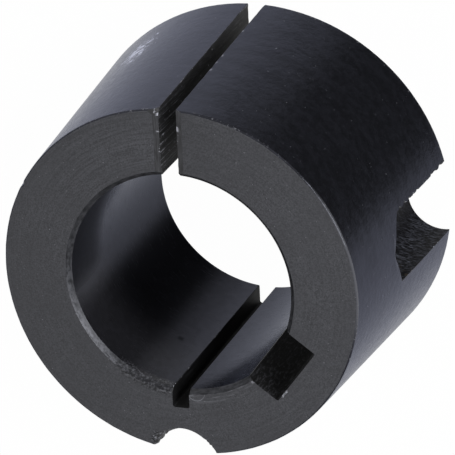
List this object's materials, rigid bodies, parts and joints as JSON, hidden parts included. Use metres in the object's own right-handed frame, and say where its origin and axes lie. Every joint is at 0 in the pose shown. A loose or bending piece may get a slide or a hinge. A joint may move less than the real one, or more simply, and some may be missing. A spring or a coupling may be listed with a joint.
{
  "type": "taper bush",
  "caption": "Split, keyed taper bush that locks a pulley or sprocket onto a 20 mm shaft; screws in its half-holes wedge it into the hub.",
  "frame": {"origin": "on the bore axis, in the plane of the large end", "axes": "+Z along the bore axis from the large end to the small end; +Y through the saw split; +X completes the right hand, 3 degrees from the clamp half-hole beside the keyway"},
  "size_m": [0.0348, 0.035, 0.0222],
  "materials": {
    "taper_bush": "near-black phosphated grey iron, machined all over, with a duller grey turned small end"
  },
  "bodies": {
    "root": {"taper_bush": "taper_bush"}
  },
  "joints": []
}
